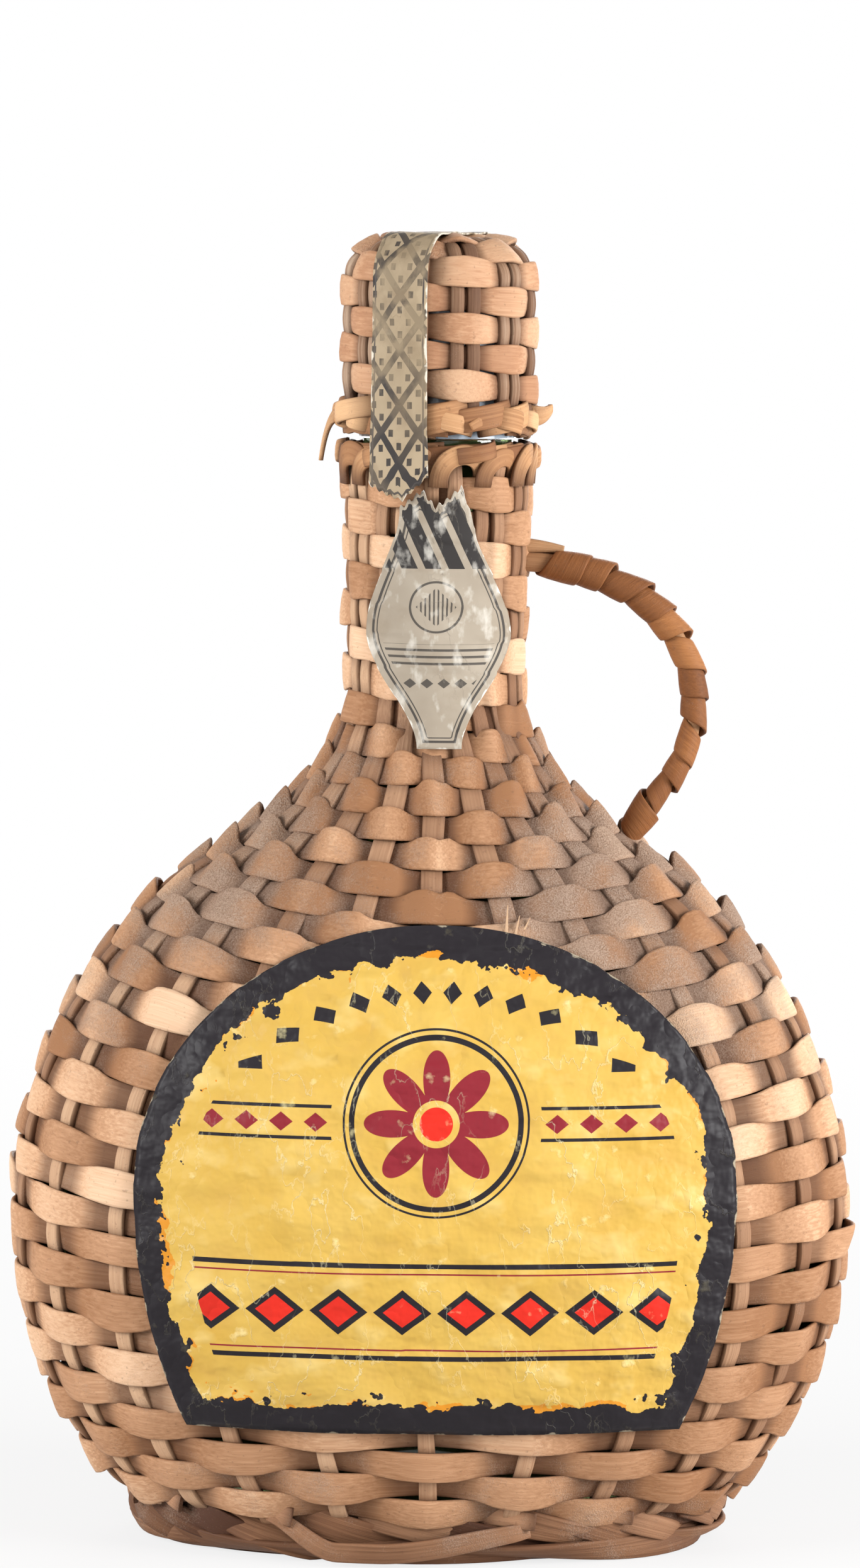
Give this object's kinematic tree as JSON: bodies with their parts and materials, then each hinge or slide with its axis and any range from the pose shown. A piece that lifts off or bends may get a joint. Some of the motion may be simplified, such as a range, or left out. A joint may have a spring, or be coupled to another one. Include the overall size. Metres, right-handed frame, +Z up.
{
  "type": "wicker flask",
  "caption": "Flattened round glass flask in a woven willow jacket, with a bound cane handle, a wicker-covered cork stopper, and paper label and seals.",
  "frame": {"origin": "middle of the foot, on the surface that the flask stands on", "axes": "+Z up along the neck, the label faces -Y, the handle is on the +X side"},
  "size_m": [0.1576, 0.0864, 0.244],
  "materials": {
    "flask_glass": "gloss",
    "stake_willow": "satin",
    "skein_willow": "satin",
    "hood_willow": "satin",
    "border_willow": "matte",
    "handle_cane": "matte",
    "binding_cane": "satin",
    "cork": "matte",
    "cap_plastic": "gloss",
    "label_paper": "matte",
    "seal_paper": "matte",
    "strip_paper": "matte"
  },
  "bodies": {
    "flask": {"glass_flask": "flask_glass", "foot_border": "border_willow", "neck_rim": "border_willow", "handle_core": "handle_cane", "handle_binding": "binding_cane", "front_label": "label_paper", "neck_seal": "seal_paper", "stake_01": "stake_willow", "stake_02": "stake_willow", "stake_03": "stake_willow", "stake_04": "stake_willow", "stake_05": "stake_willow", "stake_06": "stake_willow", "stake_07": "stake_willow", "stake_08": "stake_willow", "stake_09": "stake_willow", "stake_10": "stake_willow", "stake_11": "stake_willow", "stake_12": "stake_willow", "stake_13": "stake_willow", "stake_14": "stake_willow", "stake_15": "stake_willow", "stake_16": "stake_willow", "stake_17": "stake_willow", "stake_18": "stake_willow", "stake_19": "stake_willow", "stake_20": "stake_willow", "stake_21": "stake_willow", "stake_22": "stake_willow", "stake_23": "stake_willow", "neck_skein_01": "skein_willow", "neck_skein_02": "skein_willow", "body_skein_01": "skein_willow", "body_skein_02": "skein_willow", "body_skein_03": "skein_willow", "body_skein_04": "skein_willow", "body_skein_05": "skein_willow", "body_skein_06": "skein_willow", "body_skein_07": "skein_willow", "body_skein_08": "skein_willow", "body_skein_09": "skein_willow", "body_skein_10": "skein_willow"},
    "cork": {"cork_stopper": "cork"},
    "hood": {"stopper_cap": "cap_plastic", "hood_stakes": "hood_willow", "hood_skein_01": "hood_willow", "hood_skein_02": "hood_willow", "hood_rim": "border_willow", "seal_strip": "strip_paper"}
  },
  "joints": [
    {"name": "stopper_lift", "type": "slide", "parent": "flask", "child": "cork", "axis": [0, 0, 1], "range_m": [0, 0.06]},
    {"name": "hood_twist", "type": "hinge", "parent": "cork", "child": "hood", "pos_m": [0, 0, 0.22], "axis": [0, 0, 1], "continuous": true}
  ]
}
